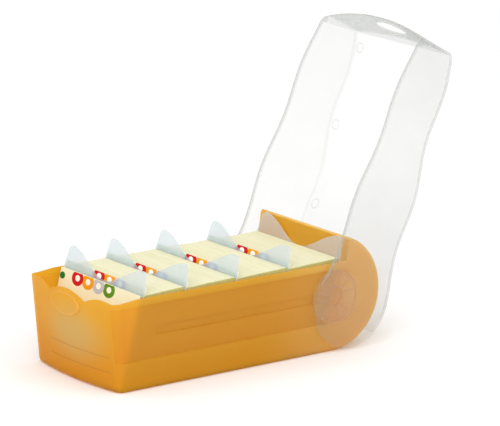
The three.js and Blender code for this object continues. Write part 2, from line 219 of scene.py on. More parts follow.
def from_bmesh(name, bm):
    bmesh.ops.recalc_face_normals(bm, faces=bm.faces)
    data = bpy.data.meshes.new(name)
    bm.to_mesh(data)
    bm.free()
    return add_object(name, data)


def loft(name, rings):
    """A closed body through rings of equal length, in millimetres, capped at both ends."""
    bm = bmesh.new()
    layers = [[bm.verts.new(Vector(p) * MM) for p in ring] for ring in rings]
    count = len(rings[0])
    for low, high in zip(layers, layers[1:]):
        for i in range(count):
            j = (i + 1) % count
            bm.faces.new((low[i], low[j], high[j], high[i]))
    bm.faces.new(layers[0])
    bm.faces.new(list(reversed(layers[-1])))
    return from_bmesh(name, bm)


def slab(name, x0, x1, y0, y1, z0, z1):
    outline = [(x0, z0), (x1, z0), (x1, z1), (x0, z1)]
    return loft(name, [[(x, y, z) for x, z in outline] for y in (y0, y1)])


def settle(obj):
    """Puts the result of the object's modifiers into its mesh."""
    graph = bpy.context.evaluated_depsgraph_get()
    data = bpy.data.meshes.new_from_object(obj.evaluated_get(graph))
    old = obj.data
    obj.modifiers.clear()
    obj.data = data
    bpy.data.meshes.remove(old)
    return obj


def combine(obj, other, operation):
    """Joins other to obj, or cuts it away, and removes other."""
    modifier = obj.modifiers.new("combine", "BOOLEAN")
    modifier.operation = operation
    modifier.solver = "EXACT"
    modifier.object = other
    settle(obj)
    bpy.data.objects.remove(other)
    return obj


def shade(obj, angle_deg=32):
    obj.data.polygons.foreach_set("use_smooth", [True] * len(obj.data.polygons))
    obj.data.set_sharp_from_angle(angle=math.radians(angle_deg))
    obj.modifiers.new("flat_faces", "WEIGHTED_NORMAL").keep_sharp = True
    return obj


def arc(cx, cy, rx, ry, a, b, count):
    angles = [math.radians(a + (b - a) * i / count) for i in range(count + 1)]
    return [(cx + rx * math.cos(t), cy + ry * math.sin(t)) for t in angles]


def oval(cx, cy, rx, ry, count=FINE):
    return arc(cx, cy, rx, ry, 0, 360, count)[:-1]


def sampled(height, x0, x1, count):
    xs = [x0 + (x1 - x0) * i / count for i in range(count + 1)]
    return [(x, height(x)) for x in xs]


def rounding(along, end, radius):
    """How far a round corner of that radius, ending at end, has turned in at a distance along."""
    over = min(max(along - (end - radius), 0.0), radius)
    return radius - math.sqrt(radius * radius - over * over)


def stations(half, radii):
    """Places across a body, from -1 to 1, close together where its corners turn."""
    flat = half - max(radii)
    places = {i / SIDE_STATIONS * flat for i in range(SIDE_STATIONS + 1)}
    for radius in radii:
        for i in range(TURN_STATIONS + 1):
            places.add(half - radius + radius * math.sin(math.pi / 2 * i / TURN_STATIONS))
    ordered = sorted(places)
    kept = [ordered[0]]
    too_close = 0.05
    for place in ordered[1:]:
        if place - kept[-1] > too_close or place == ordered[-1]:
            kept.append(place)
    return [-p / half for p in reversed(kept[1:])] + [p / half for p in kept]


# ---- tray ----

def half_width(z):
    return HALF_WIDTH - DRAFT * (RIM_Z - z) / RIM_Z


def rear_curve(inset, top_deg):
    radius = REAR_RADIUS - inset
    lower = arc(PIVOT_X, PIVOT_Z, radius, radius, -90, 0, REAR_STEPS[0])
    upper = arc(PIVOT_X, PIVOT_Z, radius, CROWN_RISE - inset, 0, top_deg, REAR_STEPS[1])
    return lower + upper[1:]


def tray_blank(name, inset, profile, round_sides, round_corners):
    """The tray's outline in side view, carried across its width with rounded edges.

    profile(d) gives the side view set in by a further d.
    """
    half = HALF_WIDTH - inset
    rings = []
    for t in stations(half, [round_corners, round_sides]):
        along = abs(t) * half
        turned = rounding(along, half, round_sides)
        corner = rounding(along, half, round_corners)
        bulge = FRONT_BULGE * (1 - (along / HALF_WIDTH) ** 2)
        ring = []
        for x, z in profile(turned):
            if x < 0:
                front = FRONT_X + inset + turned
                depth = max(0.0, 1 - (x - front) / CORNER_RADIUS)
                x += FRONT_LEAN * (RIM_Z - z) / RIM_Z + (corner - turned - bulge) * min(depth, 1.0)
            ring.append((x, t * (half_width(z) - inset), z))
        rings.append(ring)
    return loft(name, rings)


def foot_corner(inset, floor, radius):
    front = FRONT_X + inset
    return arc(front + radius, floor + radius, radius, radius, 180, 270, CORNER_STEPS)


def outer_profile(turned):
    head_deg = math.degrees(math.acos(STEP_HEAD / REAR_RADIUS))
    behind = FRONT_X + CORNER_RADIUS + WALL
    tall = RIM_Z + TONGUE_RISE
    foot = foot_corner(turned, turned, FOOT_ROUND)
    return [
        *foot,
        *rear_curve(turned, head_deg),
        (PIVOT_X + STEP_FOOT, RIM_Z),
        (behind + RIM_RAMP, RIM_Z),
        (behind, RIM_Z - CORNER_DROP),
        (behind, tall),
        (FRONT_X + turned, tall),
    ]


def inner_profile(turned):
    above = PIVOT_Z + CROWN_RISE + OVERRUN
    bottom = FLOOR + turned + 0.05
    skin = [p for p in rear_curve(WALL + turned, SKIN_END_DEG) if p[1] > bottom]
    mouth = rear_curve(WALL, SKIN_END_DEG)[-1][0]
    foot = foot_corner(WALL + turned, FLOOR + turned, FOOT_ROUND - WALL / 2)
    return [
        *foot,
        (PIVOT_X, FLOOR + turned),
        *skin,
        (mouth, above),
        (FRONT_X + WALL + turned, above),
    ]


def side_slab(name, side, outline, inner, soften=0.0):
    """A slab of an outline(grow) on one drafted side wall, from the depth inner out past the wall."""
    depths = [(inner, -soften), (inner + soften, 0.0), (OVERRUN, 0.0)]
    if soften == 0:
        depths = depths[1:]
    rings = []
    for depth, grow in depths:
        rings.append([(x, side * (half_width(z) + depth), z) for x, z in outline(grow)])
    return loft(name, rings)


def band_outline(grow):
    radius = BAND_RADIUS + grow
    round_end = arc(PIVOT_X, PIVOT_Z, radius, radius, -90, 90, BAND_STEPS)
    front = BAND_FRONT - grow
    return [(front, PIVOT_Z - radius), *round_end, (front, PIVOT_Z + radius)]


def groove_outline(grow):
    """The guide groove and the round seat at its rear end, as one outline."""
    half = GROOVE_HALF + grow
    seat = SEAT_RADIUS + grow
    meet = math.degrees(math.asin(half / seat))
    end = arc(GROOVE_FRONT, PIVOT_Z, half, half, 90, 270, GROOVE_END_STEPS)
    round_seat = arc(PIVOT_X, PIVOT_Z, seat, seat, meet - 180, 180 - meet, SEAT_STEPS)
    return [*end, *round_seat]


def front_edge(y):
    across = abs(y)
    if across < CUSP_Y:
        turn = max(math.cos(across / CUSP_Y * math.pi / 2), 0.0) ** TONGUE_FULLNESS
        return RIM_Z - CUSP_DROP + (TONGUE_RISE + CUSP_DROP) * turn
    t = min((across - CUSP_Y) / (LOBE_END_Y - CUSP_Y), 1.0)
    drop = CORNER_DROP + (CUSP_DROP - CORNER_DROP) * (1 - t) ** 2
    return RIM_Z - drop + LOBE_RISE * math.sin(math.pi * t)


def front_edge_cutter():
    half = HALF_WIDTH + OVERRUN
    above = RIM_Z + OVERRUN
    edge = sampled(front_edge, -LOBE_END_Y, LOBE_END_Y, RIM_STEPS)
    corner = RIM_Z - CORNER_DROP
    outline = [(-half, corner), *edge, (half, corner), (half, above), (-half, above)]
    ends = (FRONT_X - OVERRUN, FRONT_X + CORNER_RADIUS + WALL + EDGE_CUT_PAST)
    return loft("front_edge", [[(x, y, z) for y, z in outline] for x in ends])


def latch_pad():
    """A low oval boss with a soft edge, buried in the leaning front wall."""
    face = FRONT_X - FRONT_BULGE + FRONT_LEAN * (RIM_Z - LATCH_Z) / RIM_Z
    layers = [
        (-LATCH_RISE, LATCH_SOFT_INSET),
        (LATCH_SOFT - LATCH_RISE, 0.0),
        (LATCH_ROOT, 0.0),
    ]
    rings = []
    for x, inset in layers:
        outline = oval(0, LATCH_Z, LATCH_HALF_Y - inset, LATCH_HALF_Z - inset)
        rings.append([(face + x, y, z) for y, z in outline])
    return loft("latch_pad", rings)


def grown(outline, by):
    """The outline with a fixed amount added to what it is asked to grow by."""
    return lambda grow: outline(by + grow)


def make_tray():
    hollow = tray_blank("hollow", WALL, inner_profile, SIDE_ROUND - WALL / 2, CORNER_RADIUS - WALL)
    blocks = [
        (band_outline, BAND_RETURN, BAND_DEPTH + BAND_WALL),
        (groove_outline, GROOVE_RETURN, BAND_DEPTH + GROOVE_DEPTH + GROOVE_WALL),
    ]
    for side in (-1, 1):
        for outline, grow, depth in blocks:
            block = side_slab("block", side, grown(outline, grow), -depth)
            combine(hollow, block, "DIFFERENCE")
    body = tray_blank("tray_body", 0.0, outer_profile, SIDE_ROUND, CORNER_RADIUS)
    combine(body, latch_pad(), "UNION")
    combine(body, hollow, "DIFFERENCE")
    combine(body, front_edge_cutter(), "DIFFERENCE")
    groove_depth = BAND_DEPTH + GROOVE_DEPTH
    for side in (-1, 1):
        band = side_slab("band", side, band_outline, -BAND_DEPTH, BAND_SOFT)
        combine(body, band, "DIFFERENCE")
        groove = side_slab("groove", side, groove_outline, -groove_depth, GROOVE_SOFT)
        combine(body, groove, "DIFFERENCE")
    return shade(body)


# ---- lid, in its own frame: pivot at the origin, closed, so that it runs towards -X ----

def panel_height(s):
    wave = LID_WAVE * math.cos(2 * math.pi * s / LID_WAVE_LENGTH)
    return LID_CREST - LID_WAVE + wave - LID_SLOPE * s


def free_edge(s):
    def wave(x):
        return math.cos(2 * math.pi * (x - LID_EDGE_CREST) / LID_WAVE_LENGTH)

    dip = LID_HUB_SWELL * (1 - math.exp(-((s / LID_HUB_REACH) ** 2)))
    rise = LID_EDGE_LIFT * s + LID_EDGE_CURL * s * s + dip
    return rise - LID_END_DROP - LID_EDGE_WAVE * (wave(s) - wave(0))


def hub_end(inset, a, b, count):
    rise = (LID_CREST + LID_END_DROP) / 2
    return arc(0, LID_CREST - rise, LID_END_REACH - inset, rise - inset, a, b, count)


LID_TIP = LID_LENGTH + LID_FRONT_LEAN
LID_LEAN = LID_FRONT_LEAN / (panel_height(LID_LENGTH) - free_edge(LID_TIP))


def lid_blank(name, half, inset, radius, lower_edge, rear):
    """The lid's side view carried across with rounded corners.

    lower_edge and rear give the rest of the outline, round the front and round the hub.
    """
    bulge_end = LID_LENGTH - LID_BULGE_START
    bulge_slope = (LID_BULGE_BOTTOM - LID_BULGE_TOP) / LID_FRONT_HEIGHT
    rings = []
    for t in stations(half, [radius]):
        along = abs(t) * half
        turned = rounding(along, half, radius)
        depth = inset + turned
        top = panel_height(LID_LENGTH) - depth
        front = LID_LENGTH - depth
        nose = arc(-front + radius, top - radius, radius, radius, 90, 180, CORNER_STEPS)
        panel = [(-s, h - depth) for s, h in sampled(panel_height, 0, front - radius, FINE)]
        outline = [*rear(depth), *panel[1:-1], *nose, *lower_edge(depth, top, front)]
        ring = []
        for x, z in outline:
            if -x > bulge_end:
                share = min((-x - bulge_end) / LID_BULGE_EASE, 1.0)
                amount = LID_BULGE_TOP + bulge_slope * (panel_height(LID_LENGTH) - z)
                x -= amount * (1 - (along / LID_HALF_WIDTH) ** 2) * share
            ring.append((x, t * half, z))
        rings.append(ring)
    return loft(name, rings)


def lid_corner():
    """The curve from the front down to the free edge, as places along and heights."""
    start = Vector((LID_TIP - LID_LEAN * LID_CORNER, free_edge(LID_TIP) + LID_CORNER))
    middle = Vector((LID_TIP, free_edge(LID_TIP)))
    end = Vector((LID_TIP - LID_CORNER, free_edge(LID_TIP - LID_CORNER)))
    steps = 9
    points = []
    for i in range(steps):
        t = i / steps
        points.append(start * (1 - t) ** 2 + middle * 2 * t * (1 - t) + end * t * t)
    return [(point.x, point.y) for point in points]


def make_lid():
    deep = LID_END_DROP + OVERRUN
    above = LID_CREST + OVERRUN
    behind = LID_END_REACH + OVERRUN

    def outer_lower(depth, top, front):
        edge = sampled(free_edge, 0, LID_TIP - LID_CORNER, LID_EDGE_STEPS)
        lower = lid_corner() + edge[:0:-1]
        return [(-s, h) for s, h in lower]

    def outer_rear(depth):
        return hub_end(depth, -90, 90, LID_EDGE_STEPS)

    def inner_lower(depth, top, front):
        return [(-front - LID_LEAN * (top + deep), -deep)]

    def inner_rear(depth):
        end_deg = math.degrees(math.acos(LID_PANEL_END / (LID_END_REACH - depth)))
        curve = hub_end(depth, end_deg, 90, PANEL_END_STEPS)
        return [(behind, -deep), (behind, above), (LID_PANEL_END, above), *curve]

    body = lid_blank("lid_body", LID_HALF_WIDTH, 0.0, LID_ROUND, outer_lower, outer_rear)
    inside = LID_HALF_WIDTH - LID_WALL
    hollow = lid_blank("hollow", inside, LID_WALL, LID_ROUND - LID_WALL, inner_lower, inner_rear)
    combine(body, hollow, "DIFFERENCE")

    under = panel_height(LID_LENGTH) - LID_FRONT_HEIGHT
    ahead = -(LID_TIP + LID_BULGE_BOTTOM + OVERRUN)
    inward = OVERRUN - LID_LENGTH
    returns = inside - LID_FRONT_RETURN
    combine(body, slab("below", ahead, inward, -returns, returns, -deep, under), "DIFFERENCE")
    grip = oval(0, under + LID_FRONT_HEIGHT / 2, GRIP_HALF_Y, GRIP_HALF_Z)
    cut = loft("grip", [[(x, y, z) for y, z in grip] for x in (ahead, inward)])
    combine(body, cut, "DIFFERENCE")
    start = LID_PANEL_END - LID_NOTCH_DEPTH
    notch = slab("notch", start, behind, -LID_NOTCH_HALF, LID_NOTCH_HALF, 0, above)
    combine(body, notch, "DIFFERENCE")
    return shade(body)


# ---- hub discs, in the lid's frame ----

def lathe(name, profile, count):
    """A turned body about the Y axis; the profile (radius, y) starts and ends on the axis."""
    bm = bmesh.new()
    rings = []
    for radius, y in profile:
        if radius == 0:
            rings.append([bm.verts.new((0, y * MM, 0))])
            continue
        points = oval(0, 0, radius, radius, count)
        rings.append([bm.verts.new((x * MM, y * MM, z * MM)) for x, z in points])
    for low, high in zip(rings, rings[1:]):
        for i in range(count):
            j = (i + 1) % count
            if len(low) == 1:
                bm.faces.new((low[0], high[j], high[i]))
            elif len(high) == 1:
                bm.faces.new((low[i], low[j], high[0]))
            else:
                bm.faces.new((low[i], low[j], high[j], high[i]))
    return from_bmesh(name, bm)


def make_hub_disc(name, side):
    lid_face = LID_HALF_WIDTH - LID_WALL - GAP
    tray_face = half_width(PIVOT_Z + HUB_RADIUS) - BAND_DEPTH + GAP
    pin_end = half_width(PIVOT_Z + PIN_RADIUS) - BAND_DEPTH - GROOVE_DEPTH + GAP
    rim_in = HUB_RADIUS - HUB_RIM
    soft = HUB_SOFT
    profile = [
        (0, tray_face),
        (PIN_RADIUS - soft, tray_face),
        (PIN_RADIUS, tray_face + soft),
        (PIN_RADIUS, lid_face - HUB_WEB),
        (rim_in, lid_face - HUB_WEB),
        (rim_in, tray_face + soft),
        (rim_in + soft, tray_face),
        (HUB_RADIUS - soft, tray_face),
        (HUB_RADIUS, tray_face + soft),
        (HUB_RADIUS, lid_face - soft),
        (HUB_RADIUS - soft, lid_face),
        (0, lid_face),
    ]
    disc = lathe(name, profile, HUB_STEPS)
    half = HUB_RIB_WIDTH / 2
    rib_foot = PIN_RADIUS - MERGE
    rib_head = rim_in + MERGE
    rib_near = tray_face + RIB_INSET
    rib_far = lid_face - RIB_BURIED
    for i in range(HUB_RIBS):
        rib = slab("rib", rib_foot, rib_head, rib_near, rib_far, -half, half)
        rib.data.transform(Matrix.Rotation(2 * math.pi * i / HUB_RIBS, 4, "Y"))
        combine(disc, rib, "UNION")
    outline = oval(0, 0, PIN_RADIUS, PIN_RADIUS)
    pin = loft("pin", [[(x, y, z) for x, z in outline] for y in (pin_end, tray_face + MERGE)])
    flats = slab("flats", -HUB_RADIUS, HUB_RADIUS, 0, 2 * LID_HALF_WIDTH, -PIN_FLAT, PIN_FLAT)
    combine(pin, flats, "INTERSECT")
    combine(disc, pin, "UNION")
    if side < 0:
        disc.data.transform(Matrix.Scale(-1, 4, (0, 1, 0)))
        disc.data.flip_normals()
    return shade(disc)


def open_lid(obj):
    """Turns a lid piece from closed about its pivot, to the angle it stands open at rest."""
    turn = Matrix.Rotation(math.radians(LID_REST_DEG), 4, "Y")
    place = Matrix.Translation(Vector((PIVOT_X, 0, PIVOT_Z)) * MM)
    obj.data.transform(place @ turn)
    return obj


# ---- cards ----

def add_sheet(bm, x, thick, y0, y1, height):
    """One card, leaning back, as a thin closed body in columns across its width."""
    rows = []
    for front in (0, 1):
        for up in (0, 1):
            z = BASE_Z + up * height * math.cos(LEAN)
            px = x + front * thick + (z - BASE_Z) * math.tan(LEAN)
            row = []
            for i in range(SHEET_COLUMNS + 1):
                y = y0 + (y1 - y0) * i / SHEET_COLUMNS
                row.append(bm.verts.new((px * MM, y * MM, z * MM)))
            rows.append(row)
    front_low, front_high, back_low, back_high = rows
    for i in range(SHEET_COLUMNS):
        j = i + 1
        bm.faces.new((front_low[i], front_low[j], front_high[j], front_high[i]))
        bm.faces.new((back_low[j], back_low[i], back_high[i], back_high[j]))
        bm.faces.new((front_high[i], front_high[j], back_high[j], back_high[i]))
        bm.faces.new((front_low[j], front_low[i], back_low[i], back_low[j]))
    for i in (0, SHEET_COLUMNS):
        bm.faces.new((front_low[i], front_high[i], back_high[i], back_low[i]))


def make_cards(node, draw):
    """Loose sheets in the space of one bundle, each a little out of line with its neighbours."""
    low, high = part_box(node)
    x0 = low.x / MM
    reach = (high.z - low.z) / MM
    depth = (high.x - low.x) / MM - reach * math.tan(LEAN)
    count = max(1, round(depth / SHEET_PITCH))
    pitch = depth / count
    slack = pitch - min(SHEET, pitch * SHEET_FILL)
    height = reach / math.cos(LEAN)
    half = CARD_WIDTH / 2 - SIDE_LIMIT
    first_sink, last_sink = SINKS.get(node[-1], (0.0, 0.0))
    bm = bmesh.new()
    drift = 0.0
    for i in range(count):
        drift = SIDE_MEMORY * drift + draw.uniform(-SIDE_STEP, SIDE_STEP)
        side = max(-SIDE_LIMIT, min(SIDE_LIMIT, drift))
        top = height
        if count > 1:
            top -= abs(draw.gauss(0, TOP_SPREAD))
        top -= first_sink + (last_sink - first_sink) * i / count
        x = x0 + i * pitch + slack * draw.random() * SLACK_USED
        add_sheet(bm, x, pitch - slack, side - half, side + half, top)
    return shade(from_bmesh(f"{node}_sheets", bm), 30)


# ---- materials ----

PLASTIC_IOR = 1.49
PAPER_IOR = 1.5
LID_LINE_DENSITY = 0.38
LID_FRONT_DENSITY = 0.19
MARK_COLOURS = [(206, 8, 24), (240, 160, 12), (192, 195, 207), (88, 146, 22)]
DEEP_BELOW = 46.0  # the tray is a deeper orange toward the floor from this height
FRONT_WALL = (-96.0, -92.0)  # the front wall's painted glow patch, painted highlight ring and printed lines fade out over this stretch
REAR_PAINTED_GLOW = (PIVOT_X - 80, PIVOT_X + 30)  # and the rear's painted glow, standing for light shining through the plastic, grows over this one
# centre and half size of the painted glow patch on the front wall, where light through the wall
# lights the card behind it
GLOW_PATCH_CENTRE = (-6, 38)
GLOW_PATCH_HALF = (27, 17)


def srgb(r, g, b):
    """A screen colour, 0 to 255, as the linear colour that shaders take."""
    def linear(c):
        c /= 255
        return c / 12.92 if c <= 0.04045 else ((c + 0.055) / 1.055) ** 2.4
    return (linear(r), linear(g), linear(b), 1.0)


class Nodes:
    """Short calls to build one material's node tree."""

    def __init__(self, name):
        self.material = bpy.data.materials.new(name)
        self.material.use_nodes = True
        self.tree = self.material.node_tree
        self.tree.nodes.clear()

    def add(self, kind, inputs=None, **settings):
        node = self.tree.nodes.new(kind)
        for key, value in settings.items():
            setattr(node, key, value)
        for key, value in (inputs or {}).items():
            self.feed(node.inputs[key], value)
        return node

    def feed(self, socket, value):
        if isinstance(value, bpy.types.NodeSocket):
            self.tree.links.new(value, socket)
        else:
            socket.default_value = value

    def math(self, operation, *values, clamp=False):
        node = self.add("ShaderNodeMath", operation=operation, use_clamp=clamp)
        for socket, value in zip(node.inputs, values):
            self.feed(socket, value)
        return node.outputs[0]

    def mix(self, factor, a, b):
        node = self.add("ShaderNodeMix", data_type="RGBA")
        self.feed(node.inputs[0], factor)
        self.feed(node.inputs[6], a)
        self.feed(node.inputs[7], b)
        return node.outputs[2]

    def ramp(self, value, low, high, to_low=0.0, to_high=1.0):
        node = self.add("ShaderNodeMapRange", interpolation_type="SMOOTHSTEP")
        for socket, v in zip(node.inputs, (value, low, high, to_low, to_high)):
            self.feed(socket, v)
        return node.outputs[0]

    def product(self, *values):
        result = values[0]
        for value in values[1:]:
            result = self.math("MULTIPLY", result, value)
        return result

    def distance(self, value, centre):
        return self.math("ABSOLUTE", self.math("SUBTRACT", value, centre))

    def place(self):
        """The point on the piece, in millimetres, as x, y and z."""
        point = self.add("ShaderNodeTexCoord").outputs["Object"]
        parts = self.add("ShaderNodeSeparateXYZ", {"Vector": point})
        return [self.math("DIVIDE", out, MM) for out in parts.outputs]

    def noise(self, scale, detail=3.0, roughness=0.5):
        point = self.add("ShaderNodeTexCoord").outputs["Object"]
        settings = {"Vector": point, "Scale": scale, "Detail": detail, "Roughness": roughness}
        return self.add("ShaderNodeTexNoise", settings).outputs["Fac"]

    def bump(self, height, strength, distance):
        settings = {"Height": height, "Strength": strength, "Distance": distance}
        return self.add("ShaderNodeBump", settings).outputs["Normal"]

    def gloss(self, colour, rough, normal, specular, ior):
        settings = {
            "Base Color": colour,
            "Roughness": rough,
            "Normal": normal,
            "Specular IOR Level": specular,
            "IOR": ior,
        }
        return self.add("ShaderNodeBsdfPrincipled", settings).outputs[0]

    def blend(self, factor, a, b):
        node = self.add("ShaderNodeMixShader")
        self.feed(node.inputs[0], factor)
        self.tree.links.new(a, node.inputs[1])
        self.tree.links.new(b, node.inputs[2])
        return node.outputs[0]

    def finish(self, shader):
        self.add("ShaderNodeOutputMaterial", {"Surface": shader})
        return self.material


def radius_of(n, a, b):
    return n.math("SQRT", n.math("ADD", n.product(a, a), n.product(b, b)))


def oval_mask(n, y, along, centre, half, soft=0.04):
    """1 inside an oval and 0 outside it."""
    dy = n.math("DIVIDE", n.math("SUBTRACT", y, centre[0]), half[0])
    dz = n.math("DIVIDE", n.math("SUBTRACT", along, centre[1]), half[1])
    return n.ramp(radius_of(n, dy, dz), 1 - soft, 1 + soft, 1.0, 0.0)


def tray_colour(n):
    """Orange, deeper toward the floor, with painted glow paling it to the rear and in a patch on the
    front wall, a painted shade line along the band's edge and a painted highlight ring round the
    latch pad.
    """
    x, y, z = n.place()
    across = n.math("ABSOLUTE", y)
    cloud = n.noise(28.0, 3.0)
    low = n.ramp(z, 0.0, DEEP_BELOW, 1.0, 0.0)
    deep = n.math("MULTIPLY", low, n.ramp(cloud, 0.2, 0.8, 0.75, 1.0), clamp=True)
    bright = n.mix(cloud, srgb(226, 184, 54), srgb(232, 191, 64))
    colour = n.mix(deep, bright, srgb(226, 168, 16))

    between_sides = n.ramp(across, 50.0, 54.0, 1.0, 0.0)
    # Painted glow: the round end, and the tray toward the rear, are paled as if lit through the
    # plastic from behind.
    round_end = n.product(n.ramp(x, PIVOT_X - 4, PIVOT_X + 6), between_sides)
    rear = n.math("MAXIMUM", round_end, n.ramp(x, *REAR_PAINTED_GLOW, 0.0, 0.5))
    colour = n.mix(n.product(rear, 0.9), colour, srgb(255, 238, 176))

    # Painted shade: a darker line along the edge of the band's recess round the rear end.
    off_pivot = n.distance(z, PIVOT_Z)
    band = n.product(
        n.ramp(off_pivot, BAND_RADIUS - 0.5, BAND_RADIUS, 1.0, 0.0),
        n.ramp(across, 51.6, 52.0),
        n.ramp(x, PIVOT_X, PIVOT_X + BAND_RADIUS, 1.0, 0.0),
    )
    colour = n.mix(n.product(band, 0.45), colour, srgb(220, 152, 44))

    front = n.ramp(x, *FRONT_WALL, 1.0, 0.0)
    # Painted glow: a pale patch where light through the front wall lights the card behind it.
    painted_glow_patch = n.product(front, oval_mask(n, y, z, GLOW_PATCH_CENTRE, GLOW_PATCH_HALF, 0.8))
    colour = n.mix(n.product(painted_glow_patch, 0.7), colour, srgb(208, 208, 152))
    # Painted highlight: a paler ring round the latch pad's soft edge.
    outer, inner = [
        oval_mask(n, y, z, (0, LATCH_Z), (LATCH_HALF_Y - inset, LATCH_HALF_Z - inset), 0.05)
        for inset in (0.0, LATCH_LINE)
    ]
    rim = n.product(front, n.math("SUBTRACT", outer, inner))
    colour = n.mix(n.product(rim, 0.4), colour, srgb(252, 214, 134))
    for height in LABEL_LINES:
        line = n.product(
            front,
            n.ramp(n.distance(z, height), 0.2, 0.4, 1.0, 0.0),
            n.ramp(n.distance(y, LABEL_CENTRE), LABEL_HALF - 0.2, LABEL_HALF, 1.0, 0.0),
        )
        colour = n.mix(n.product(line, 0.55), colour, srgb(128, 96, 66))
    return colour


def tray_plastic():
    n = Nodes("tray_plastic")
    colour = tray_colour(n)
    normal = n.bump(n.noise(2600.0, 2.0), 0.25, 0.00004)
    rough = n.ramp(n.noise(400.0, 4.0), 0.3, 0.7, 0.36, 0.46)
    skin = n.gloss(colour, rough, normal, 0.45, PLASTIC_IOR)
    warm = n.mix(0.6, colour, srgb(255, 212, 72))
    glow = n.add("ShaderNodeBsdfTranslucent", {"Color": warm, "Normal": normal})
    body = n.blend(0.42, skin, glow.outputs[0])
    clear = n.add("ShaderNodeBsdfTransparent", {"Color": srgb(255, 222, 112)})
    return n.finish(n.blend(0.34, body, clear.outputs[0]))


def milky(name, colour, opacity, edge, pattern=None):
    """Frosted see-through plastic: mostly clear face on, whiter where it is seen at a slant.

    pattern(n, colour) gives its colour and its least density, from place to place.
    """
    n = Nodes(name)
    slant = n.add("ShaderNodeLayerWeight", {"Blend": 0.5}).outputs["Facing"]
    steep = n.math("POWER", slant, 2.6)
    cloud = n.ramp(n.noise(36.0, 3.0), 0.25, 0.75, 0.92, 1.08)
    veil = n.math("MULTIPLY", n.ramp(steep, 0.0, 1.0, opacity, edge), cloud, clamp=True)
    if pattern:
        colour, dense = pattern(n, colour)
        veil = n.math("MAXIMUM", veil, dense)
    normal = n.bump(n.noise(1200.0, 2.0), 0.06, 0.00003)
    rough = n.ramp(n.noise(300.0, 4.0), 0.3, 0.7, 0.3, 0.42)
    skin = n.gloss(colour, rough, normal, 0.4, PLASTIC_IOR)
    glow = n.add("ShaderNodeBsdfTranslucent", {"Color": colour, "Normal": normal})
    body = n.blend(0.5, skin, glow.outputs[0])
    clear = n.add("ShaderNodeBsdfTransparent", {"Color": (1, 1, 1, 1)})
    return n.finish(n.blend(veil, clear.outputs[0], body))


def lid_place(n):
    """A point of the open lid in the closed lid's terms: how far along from the pivot, and height."""
    x, y, z = n.place()
    turn = math.radians(LID_REST_DEG)
    dx = n.math("SUBTRACT", x, PIVOT_X)
    dz = n.math("SUBTRACT", z, PIVOT_Z)
    along = n.math("SUBTRACT", n.product(dz, math.sin(turn)), n.product(dx, math.cos(turn)))
    height = n.math("ADD", n.product(dx, math.sin(turn)), n.product(dz, math.cos(turn)))
    return along, y, height


def lid_wave(n, s, crest):
    """The wave of the panel or of the free edge, from -1 to 1, at a distance along."""
    phase = n.product(n.math("SUBTRACT", s, crest), 2 * math.pi / LID_WAVE_LENGTH)
    return n.math("COSINE", phase)


def below_panel(n, s, h):
    """How far a point is below the panel's outside, as panel_height has it."""
    panel = n.math("ADD", n.product(lid_wave(n, s, 0), LID_WAVE), LID_CREST - LID_WAVE)
    panel = n.math("SUBTRACT", panel, n.product(s, LID_SLOPE))
    return n.math("SUBTRACT", panel, h)


def above_edge(n, s, h):
    """How far a point is above the free edge, as free_edge has it."""
    start = LID_EDGE_WAVE * math.cos(2 * math.pi * LID_EDGE_CREST / LID_WAVE_LENGTH)
    start += LID_HUB_SWELL - LID_END_DROP
    square = n.product(s, s)
    edge = n.math("ADD", n.product(s, LID_EDGE_LIFT), n.product(square, LID_EDGE_CURL))
    near_hub = n.math("EXPONENT", n.product(square, -1 / LID_HUB_REACH ** 2))
    edge = n.math("SUBTRACT", edge, n.product(near_hub, LID_HUB_SWELL))
    edge = n.math("SUBTRACT", edge, n.product(lid_wave(n, s, LID_EDGE_CREST), LID_EDGE_WAVE))
    return n.math("SUBTRACT", n.math("SUBTRACT", h, edge), start)


def ring_lines(n, s, y, on_panel, line):
    """The line mask with the rings on the panel added to it."""
    for along, side in LID_MARKS:
        ds = n.math("SUBTRACT", s, along)
        dy = n.math("SUBTRACT", y, side)
        off = n.distance(radius_of(n, ds, dy), LID_MARK_RADIUS)
        line = n.math("MAXIMUM", line, n.product(on_panel, n.ramp(off, 0.3, 0.9, 1.0, 0.0)))
    return line


